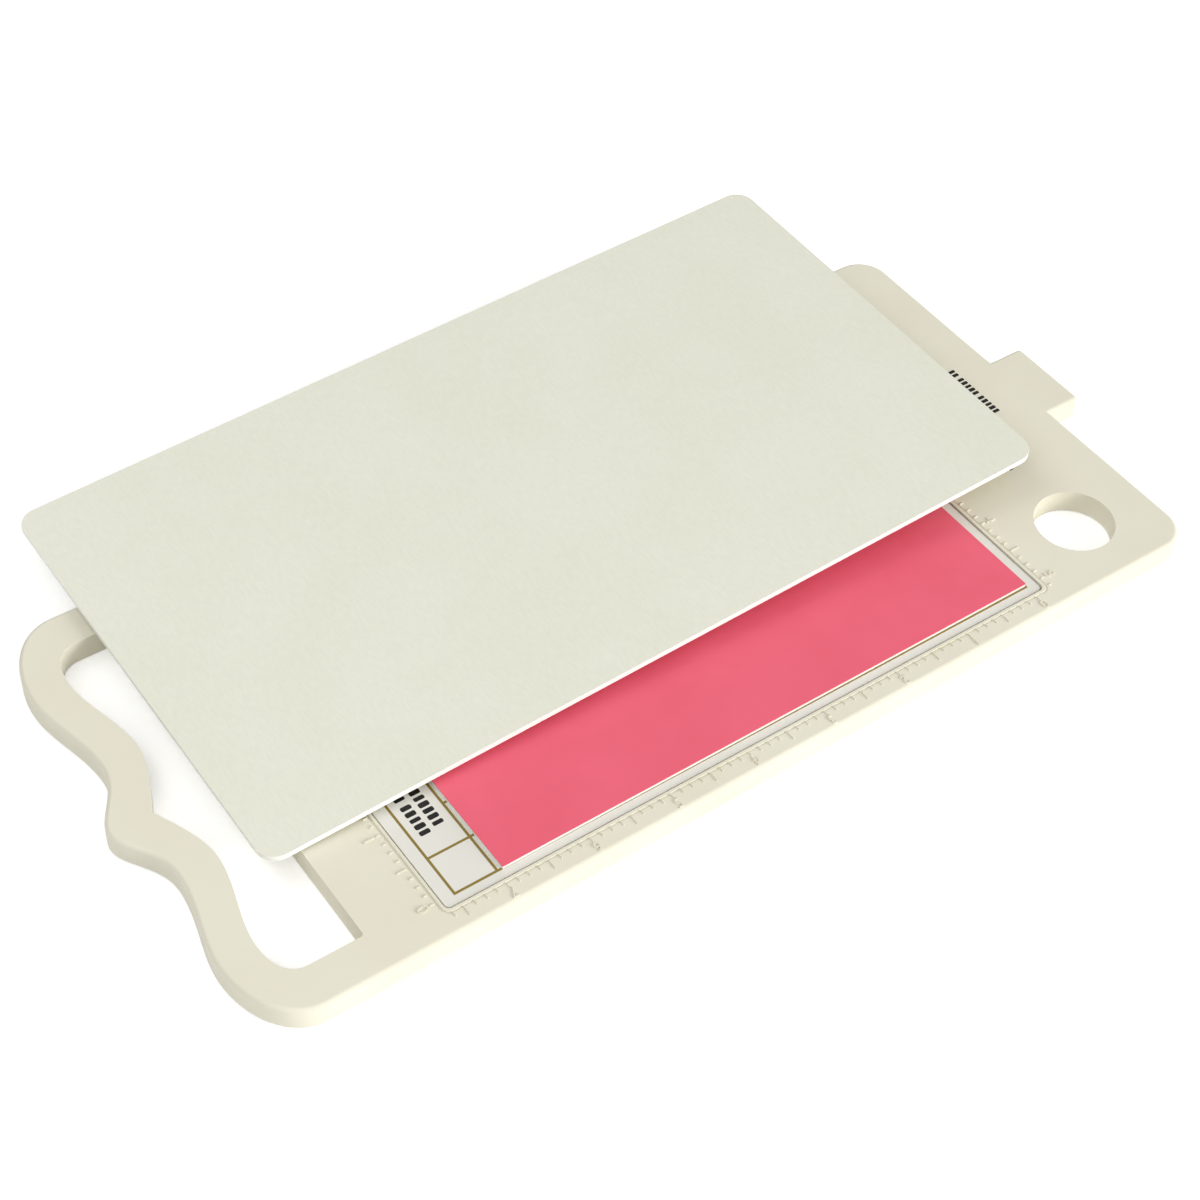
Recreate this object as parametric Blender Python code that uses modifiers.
"""Heated foiling platform with a carry handle, its lift-out spacer board and its loose cover plate.

Row frame: the origin is on the underside, below the middle of the heated plate. +X runs to the
docking tab, +Y to the long side that the cover plate is pushed towards, and +Z up. All in metres.
"""
from math import cos, pi, radians, sin

import bmesh
import bpy
from mathutils import Euler, Matrix

MM = 0.001
GAP = 0.3 * MM                  # air kept between pieces that touch

# Platform casting
TOP = 7.5 * MM                  # thickness of the platform
HALF_DEPTH = 74.0 * MM          # middle to each long side
RIGHT_X = 150.3 * MM            # end with the tab
RIGHT_R = 9.5 * MM
TAB_X = 162.3 * MM
TAB_HALF = 13.5 * MM
TAB_R = 1.5 * MM
FINGER_HOLE = (124.8 * MM, -51.8 * MM, 11.8 * MM)       # centre and radius

# Handle waves on the far half, in mm: x, y, handle in, handle out
OUTER_WAVE = (
    (-157.9, 0.0, (0.0, -6.0), (0.0, 6.0)),
    (-149.4, 20.5, (0.0, -9.5), (0.0, 10.8)),
    (-154.4, 50.0, (0.0, -9.6), (0.0, 12.3)),
    (-137.5, 74.0, (-10.2, 0.0), (0.0, 0.0)),
)
INNER_WAVE = (
    (-145.4, 0.0, (3.6, -7.2), (3.6, 7.2)),
    (-138.2, 21.3, (0.0, -6.5), (0.0, 10.0)),
    (-143.5, 50.0, (0.0, -9.5), (0.0, 7.0)),
    (-135.5, 61.8, (-5.5, 0.0), (0.0, 0.0)),
)
CUTOUT_X = -120.2 * MM          # straight side of the handle cut-out
CUTOUT_HALF = 61.8 * MM

# Heated plate, its window, and the raised ridge round it
PLATE = (99.0 * MM, 66.4 * MM, 1.5 * MM)        # half length, half depth, corner radius
PLATE_LOW = 5.6 * MM
PLATE_HIGH = 7.3 * MM
LEDGE = (93.0 * MM, 60.5 * MM, 2.0 * MM)        # through opening below the plate
LEDGE_Z = PLATE_LOW - GAP
RIDGE = (100.3 * MM, 67.7 * MM, 1.9 * MM)
RIDGE_HIGH = TOP + 0.2 * MM

# Underside
COVER_HIGH = 1.4 * MM
COVER = (105.0 * MM, 69.0 * MM, 5.0 * MM)
TONGUE_X = 158.5 * MM
TONGUE_HALF = 11.6 * MM
CHANNEL_Z = 4.7 * MM            # ceiling of the wire channel and tab pocket
CHANNEL_HALF = 5.2 * MM

# Heating parts between the plate and the bottom cover
FILM = (90.0 * MM, 57.5 * MM, 2.0 * MM)
FILM_LOW = 4.85 * MM
INSULATION = (88.0 * MM, 56.0 * MM, 1.5 * MM)
INSULATION_Z = (2.0 * MM, 4.5 * MM)
SLOT_X = 24.0 * MM              # the board's slot for the sensor, fuse and wires starts here
SLOT_HALF = 10.0 * MM
WIRE_R = 0.5 * MM
WIRE_Z = 3.6 * MM

# Screws and contact pads, by place
SCREWS = [(x * MM, y * MM) for x in (-96.5, 0, 96.5) for y in (-65.0, 65.0)]
SCREWS += [(118 * MM, -8 * MM), (118 * MM, 8 * MM)]
SCREW_HEAD = (1.8 * MM, 1.0 * MM)               # radius and height of the countersunk head
SCREW_SHANK = (0.9 * MM, 4.3 * MM)              # radius and tip height
SCREW_LOW = 0.1 * MM
PADS = [(155.2 * MM, y * MM) for y in (-6.0, -2.0, 2.0, 6.0)]
BOARD_HIGH = 2.7 * MM                           # top of the contact board

# Spacer board and cover plate
SPACER_MIN = (-81.25 * MM, -63.5 * MM)
SPACER_MAX = (95.35 * MM, 63.5 * MM)
SPACER_TURN = radians(0.2)
CORE_Z = (PLATE_HIGH + 0.1 * MM, 8.1 * MM)
FACING_Z = (8.2 * MM, 8.4 * MM)
PLATEN_SIZE = (255.4 * MM, 142.4 * MM)
PLATEN_R = 6.0 * MM
PLATEN_T = 1.8 * MM
PLATEN_CENTRE = (-2.3 * MM, 39.0 * MM, TOP + 7.6 * MM)
PLATEN_RISE = (radians(2.28), radians(0.34))    # uphill towards +X and towards +Y
PLATEN_YAW = radians(-0.17)

IVORY = (0.82, 0.79, 0.66, 1)
PLATE_GREY = (0.80, 0.79, 0.70, 1)
COVER_GREY = (0.80, 0.81, 0.69, 1)
PINK = (0.88, 0.165, 0.23, 1)
WHITE = (0.90, 0.90, 0.88, 1)
BRASS = (0.80, 0.60, 0.25, 1)
STEEL = (0.55, 0.56, 0.58, 1)
AMBER = (0.55, 0.22, 0.04, 1)
GREEN = (0.03, 0.22, 0.10, 1)
BLACK = (0.02, 0.02, 0.02, 1)
RED = (0.55, 0.02, 0.02, 1)

parts = None
cutters = None


def material(name, colour, roughness=0.5, metallic=0.0):
    made = bpy.data.materials.new(name)
    made.use_nodes = True
    shader = made.node_tree.nodes["Principled BSDF"]
    shader.inputs["Base Color"].default_value = colour
    shader.inputs["Roughness"].default_value = roughness
    shader.inputs["Metallic"].default_value = metallic
    made.diffuse_color = colour
    return made


def keep(obj, finish):
    """Put a finished object in the parts collection with its own material."""
    for owner in list(obj.users_collection):
        owner.objects.unlink(obj)
    parts.objects.link(obj)
    obj.data.materials.clear()
    obj.data.materials.append(finish)
    return obj


def as_cutter(obj):
    for owner in list(obj.users_collection):
        owner.objects.unlink(obj)
    cutters.objects.link(obj)
    obj.hide_render = True
    obj.display_type = "WIRE"
    return obj


def mirrored(points):
    """The same stretch of outline on the near side, walked backwards."""
    return [(x, -y, (out[0], -out[1]), (into[0], -into[1])) for x, y, into, out in reversed(points)]


def metres(wave):
    scaled = []
    for x, y, into, out in wave:
        scaled.append((x * MM, y * MM, (into[0] * MM, into[1] * MM), (out[0] * MM, out[1] * MM)))
    return scaled


def corner(x, y, radius, start, sweep=-90):
    """Two Bezier points that round a corner whose arc centre is (x, y)."""
    reach = radius * 4 / 3 * sin(radians(abs(sweep)) / 4) / cos(radians(abs(sweep)) / 4)
    points = []
    for angle in (radians(start), radians(start + sweep)):
        sign = 1 if sweep > 0 else -1
        along = (-sin(angle) * sign * reach, cos(angle) * sign * reach)
        points.append((x + radius * cos(angle), y + radius * sin(angle), (-along[0], -along[1]), along))
    points[0] = points[0][:2] + ((0, 0), points[0][3])
    points[1] = points[1][:3] + ((0, 0),)
    return points


def plain(x, y):
    return (x, y, (0, 0), (0, 0))


def rounded_box(size, centre=(0, 0)):
    """A rounded rectangle: size is half length, half depth and corner radius."""
    half_x, half_y, radius = size
    across = half_x - radius
    along = half_y - radius
    points = []
    for sign_x, sign_y, start in ((1, 1, 90), (1, -1, 0), (-1, -1, -90), (-1, 1, 180)):
        points += corner(centre[0] + sign_x * across, centre[1] + sign_y * along, radius, start)
    return points


def circle(x, y, radius):
    reach = radius * 0.5523
    return [
        (x, y + radius, (-reach, 0), (reach, 0)),
        (x + radius, y, (0, reach), (0, -reach)),
        (x, y - radius, (reach, 0), (-reach, 0)),
        (x - radius, y, (0, -reach), (0, reach)),
    ]


def slab(name, outlines, low, high, steps=8):
    """A flat plate between two heights from closed Bezier outlines; inner ones are holes."""
    curve = bpy.data.curves.new(name, "CURVE")
    curve.dimensions = "2D"
    curve.fill_mode = "BOTH"
    curve.resolution_u = steps
    curve.extrude = (high - low) / 2
    for outline in outlines:
        spline = curve.splines.new("BEZIER")
        spline.bezier_points.add(len(outline) - 1)
        spline.use_cyclic_u = True
        for point, (x, y, into, out) in zip(spline.bezier_points, outline):
            point.handle_left_type = "FREE"
            point.handle_right_type = "FREE"
            point.co = (x, y, 0)
            point.handle_left = (x + into[0], y + into[1], 0)
            point.handle_right = (x + out[0], y + out[1], 0)
    source = bpy.data.objects.new(name + "_outline", curve)
    bpy.context.scene.collection.objects.link(source)
    source.location.z = (low + high) / 2
    bpy.context.view_layer.update()
    evaluated = source.evaluated_get(bpy.context.evaluated_depsgraph_get())
    mesh = bpy.data.meshes.new_from_object(evaluated)
    shape = bmesh.new()
    shape.from_mesh(mesh)
    bmesh.ops.remove_doubles(shape, verts=shape.verts, dist=0.00002)
    bmesh.ops.dissolve_limit(shape, angle_limit=0.001, verts=shape.verts, edges=shape.edges)
    bmesh.ops.recalc_face_normals(shape, faces=shape.faces)
    shape.to_mesh(mesh)
    shape.free()
    obj = bpy.data.objects.new(name, mesh)
    obj.matrix_world = source.matrix_world.copy()
    bpy.context.scene.collection.objects.link(obj)
    bpy.data.objects.remove(source)
    return obj


def box(name, low, high):
    """A box between two corners, with its scale applied."""
    bpy.ops.mesh.primitive_cube_add(size=1)
    obj = bpy.context.active_object
    obj.name = name
    size = [b - a for a, b in zip(low, high)]
    middle = [(a + b) / 2 for a, b in zip(low, high)]
    obj.data.transform(Matrix.Diagonal((*size, 1)))
    obj.location = middle
    return obj


def boolean(obj, tool, operation="DIFFERENCE"):
    modifier = obj.modifiers.new(tool.name, "BOOLEAN")
    modifier.operation = operation
    modifier.solver = "EXACT"
    modifier.object = as_cutter(tool)
    return modifier


def bevel(obj, width, segments=2, angle=40):
    modifier = obj.modifiers.new("rounded_edges", "BEVEL")
    modifier.width = width
    modifier.segments = segments
    modifier.limit_method = "ANGLE"
    modifier.angle_limit = radians(angle)
    return modifier


def turned(name, profile, place, sides=16):
    """A solid turned about +Z from (radius, height) points listed upwards; Screw wants them downwards."""
    mesh = bpy.data.meshes.new(name)
    shape = bmesh.new()
    verts = [shape.verts.new((radius, 0, height)) for radius, height in reversed(profile)]
    for first, second in zip(verts[:-1], verts[1:]):
        shape.edges.new((first, second))
    shape.to_mesh(mesh)
    shape.free()
    obj = bpy.data.objects.new(name, mesh)
    bpy.context.scene.collection.objects.link(obj)
    screw = obj.modifiers.new("turn", "SCREW")
    screw.angle = 2 * pi
    screw.steps = sides
    screw.render_steps = sides
    screw.use_merge_vertices = True
    screw.merge_threshold = 0.00001
    obj.location = (place[0], place[1], 0)
    return obj


def tube(name, points, radius):
    """A wire through its points, with closed ends."""
    curve = bpy.data.curves.new(name, "CURVE")
    curve.dimensions = "3D"
    curve.bevel_depth = radius
    curve.bevel_resolution = 2
    curve.use_fill_caps = True
    spline = curve.splines.new("POLY")
    spline.points.add(len(points) - 1)
    for point, place in zip(spline.points, points):
        point.co = (*place, 1)
    obj = bpy.data.objects.new(name, curve)
    bpy.context.scene.collection.objects.link(obj)
    return obj


def platform_outline():
    """The whole platform seen from above, clockwise from the tip of the handle."""
    far = metres(OUTER_WAVE)
    far += corner(RIGHT_X - RIGHT_R, HALF_DEPTH - RIGHT_R, RIGHT_R, 90)
    far += [plain(RIGHT_X, TAB_HALF)]
    far += corner(TAB_X - TAB_R, TAB_HALF - TAB_R, TAB_R, 90)
    return far + mirrored(far)[:-1]


def cutout_outline():
    far = metres(INNER_WAVE) + [plain(CUTOUT_X, CUTOUT_HALF)]
    return far + mirrored(far)[:-1]


def grown(size, extra):
    return (size[0] + extra, size[1] + extra, size[2] + extra)


def cover_outline(extra=0.0):
    """The bottom cover with its tongue under the tab, clockwise."""
    half_x, half_y, radius = grown(COVER, extra)
    tongue = TONGUE_HALF + extra
    far = corner(half_x - radius, half_y - radius, radius, 90)
    far += [plain(half_x, tongue), plain(TONGUE_X + extra, tongue)]
    near = mirrored(far)
    left = corner(radius - half_x, radius - half_y, radius, -90)
    left += corner(radius - half_x, half_y - radius, radius, 180)
    return far + near + left


def screw_bore(name, place, low, high, radius):
    profile = [(0, low), (radius, low), (radius, high), (0, high)]
    return turned(name, profile, place)


def platform_frame(finish):
    frame = slab("platform_frame", [platform_outline(), cutout_outline(), circle(*FINGER_HOLE)], 0, TOP)
    boolean(frame, slab("ridge_bar", [rounded_box(RIDGE)], TOP - 1 * MM, RIDGE_HIGH), "UNION")
    window = slab("plate_window", [rounded_box(grown(PLATE, 0.4 * MM))], LEDGE_Z, TOP + 2 * MM)
    boolean(frame, window)
    boolean(frame, slab("ledge_opening", [rounded_box(LEDGE)], -1 * MM, TOP))
    boolean(frame, slab("cover_rebate", [cover_outline(GAP)], -1 * MM, COVER_HIGH + GAP))
    inner_end = (LEDGE[0] - 2 * MM, -CHANNEL_HALF, 1 * MM)
    boolean(frame, box("wire_channel", inner_end, (142 * MM, CHANNEL_HALF, CHANNEL_Z)))
    pocket = box("tab_pocket", (139 * MM, -9.3 * MM, 1 * MM), (159.5 * MM, 9.3 * MM, CHANNEL_Z))
    boolean(frame, pocket)
    for number, place in enumerate(SCREWS, 1):
        bore = screw_bore(f"frame_bore_{number}", place, 1 * MM, 4.7 * MM, SCREW_SHANK[0] + 0.1 * MM)
        boolean(frame, bore)
    return keep(frame, finish)


def bottom_cover(finish):
    cover = slab("bottom_cover", [cover_outline()], 0, COVER_HIGH)
    head_r, head_h = SCREW_HEAD
    clear = 0.2 * MM
    below = -1 * MM
    above = 3 * MM
    profile = [
        (0, below),
        (head_r + clear, below),
        (head_r + clear, SCREW_LOW + clear / 4),
        (SCREW_SHANK[0] + clear, SCREW_LOW + clear / 4 + head_h),
        (SCREW_SHANK[0] + clear, above),
        (0, above),
    ]
    for number, place in enumerate(SCREWS, 1):
        boolean(cover, turned(f"countersink_{number}", profile, place))
    for number, (x, y) in enumerate(PADS, 1):
        low = (x - 2.3 * MM, y - 1.4 * MM, below)
        high = (x + 2.3 * MM, y + 1.4 * MM, above)
        boolean(cover, box(f"pad_aperture_{number}", low, high))
    return keep(cover, finish)


def cover_screw(number, place, finish):
    head_r, head_h = SCREW_HEAD
    shank_r, tip = SCREW_SHANK
    profile = [
        (0, SCREW_LOW),
        (head_r, SCREW_LOW),
        (shank_r, SCREW_LOW + head_h),
        (shank_r, tip - shank_r),
        (0, tip),
    ]
    return keep(turned(f"cover_screw_{number}", profile, place), finish)


def heated_plate(finish):
    return keep(slab("heated_plate", [rounded_box(PLATE)], PLATE_LOW, PLATE_HIGH), finish)


def insulation_board(finish):
    board = slab("insulation_board", [rounded_box(INSULATION)], *INSULATION_Z)
    slot = box("wire_slot", (SLOT_X, -SLOT_HALF, 0), (100 * MM, SLOT_HALF, 6 * MM))
    boolean(board, slot)
    return keep(board, finish)


def contact_board(finish):
    board = box("contact_board", (140 * MM, -8.8 * MM, COVER_HIGH + GAP), (159 * MM, 8.8 * MM, BOARD_HIGH))
    return keep(board, finish)


def contact_pad(number, place, finish):
    low = (place[0] - 2 * MM, place[1] - 1.1 * MM, 0.5 * MM)
    high = (place[0] + 2 * MM, place[1] + 1.1 * MM, COVER_HIGH)
    pad = box(f"contact_pad_{number}", low, high)
    bevel(pad, 0.2 * MM, 1)
    return keep(pad, finish)


def thermistor(finish):
    bead = box("thermistor", (30 * MM, 2.5 * MM, 2.9 * MM), (34.5 * MM, 5.3 * MM, 4.5 * MM))
    bevel(bead, 0.5 * MM, 3)
    return keep(bead, finish)


def thermal_fuse(finish):
    fuse = tube("thermal_fuse", [(40 * MM, -6 * MM, 3.3 * MM), (51 * MM, -6 * MM, 3.3 * MM)], 1.1 * MM)
    return keep(fuse, finish)


def wire_run(start, lane, end_x=143.5 * MM):
    """A wire that leaves its start, drops to the channel's height and runs to the contact board."""
    x, y, z = start
    return [
        (x, y, z),
        (x + 3 * MM, y, z + (WIRE_Z - z) * 0.3),
        (x + 7 * MM, y + (lane - y) * 0.3, WIRE_Z),
        (x + 12 * MM, y + (lane - y) * 0.8, WIRE_Z),
        (x + 16 * MM, lane, WIRE_Z),
        (end_x, lane, WIRE_Z),
    ]


def wires(heater_finish, sensor_finish):
    film_end = (70 * MM, 7 * MM, 4.05 * MM)
    fuse_end = (51.4 * MM, -6 * MM, 3.3 * MM)
    bead_end = 34.9 * MM
    keep(tube("heater_lead_1", wire_run(film_end, 3.8 * MM), WIRE_R), heater_finish)
    keep(tube("heater_lead_2", wire_run(fuse_end, -3.8 * MM), WIRE_R), heater_finish)
    link = [(x * MM, -6 * MM, z * MM) for x, z in ((30, 4.05), (33, 3.9), (36, 3.4), (39.6, 3.3))]
    keep(tube("fuse_link", link, WIRE_R), heater_finish)
    keep(tube("sensor_lead_1", wire_run((bead_end, 3.2 * MM, WIRE_Z), -1 * MM), WIRE_R), sensor_finish)
    keep(tube("sensor_lead_2", wire_run((bead_end, 4.6 * MM, WIRE_Z), 1.5 * MM), WIRE_R), sensor_finish)


def spacer_layer(name, heights, finish):
    middle = [(a + b) / 2 for a, b in zip(SPACER_MIN, SPACER_MAX)]
    half = [(b - a) / 2 for a, b in zip(SPACER_MIN, SPACER_MAX)]
    layer = box(name, (-half[0], -half[1], heights[0]), (half[0], half[1], heights[1]))
    layer.location = (middle[0], middle[1], (heights[0] + heights[1]) / 2)
    layer.rotation_euler = Euler((0, 0, SPACER_TURN))
    return keep(layer, finish)


def cover_plate(finish):
    half = (PLATEN_SIZE[0] / 2, PLATEN_SIZE[1] / 2, PLATEN_R)
    plate = slab("cover_plate", [rounded_box(half)], 0, PLATEN_T)
    rise_x, rise_y = PLATEN_RISE
    plate.data.transform(Matrix.Translation((0, 0, -PLATEN_T / 2)))     # origin on the top face
    plate.rotation_euler = Euler((rise_y, -rise_x, PLATEN_YAW), "XYZ")
    plate.location = PLATEN_CENTRE
    bevel(plate, 0.25 * MM, 2)
    return keep(plate, finish)


def main():
    global parts, cutters
    for obj in list(bpy.data.objects):
        bpy.data.objects.remove(obj)
    parts = bpy.data.collections.new("foiling_platform")
    cutters = bpy.data.collections.new("cutters")
    for collection in (parts, cutters):
        bpy.context.scene.collection.children.link(collection)

    ivory = material("ivory_abs", IVORY, 0.55)
    steel = material("zinc_steel", STEEL, 0.35, 1.0)
    brass = material("contact_brass", BRASS, 0.3, 1.0)
    red = material("red_silicone", RED, 0.5)
    white = material("white_silicone", WHITE, 0.5)

    platform_frame(ivory)
    bottom_cover(material("cover_abs", IVORY, 0.6))
    heated_plate(material("coated_aluminium", PLATE_GREY, 0.45))
    film = slab("heater_film", [rounded_box(FILM)], FILM_LOW, PLATE_LOW - GAP)
    keep(film, material("polyimide", AMBER, 0.4))
    insulation_board(material("felt_board", WHITE, 0.9))
    contact_board(material("glass_epoxy", GREEN, 0.45))
    for number, place in enumerate(PADS, 1):
        contact_pad(number, place, brass)
    thermistor(material("black_epoxy", BLACK, 0.4))
    thermal_fuse(material("fuse_case", STEEL, 0.4, 1.0))
    wires(red, white)
    for number, place in enumerate(SCREWS, 1):
        cover_screw(number, place, steel)
    spacer_layer("spacer_core", CORE_Z, material("white_board", WHITE, 0.8))
    spacer_layer("spacer_facing", FACING_Z, material("pink_paper", PINK, 0.7))
    cover_plate(material("cover_polycarbonate", COVER_GREY, 0.5))


main()
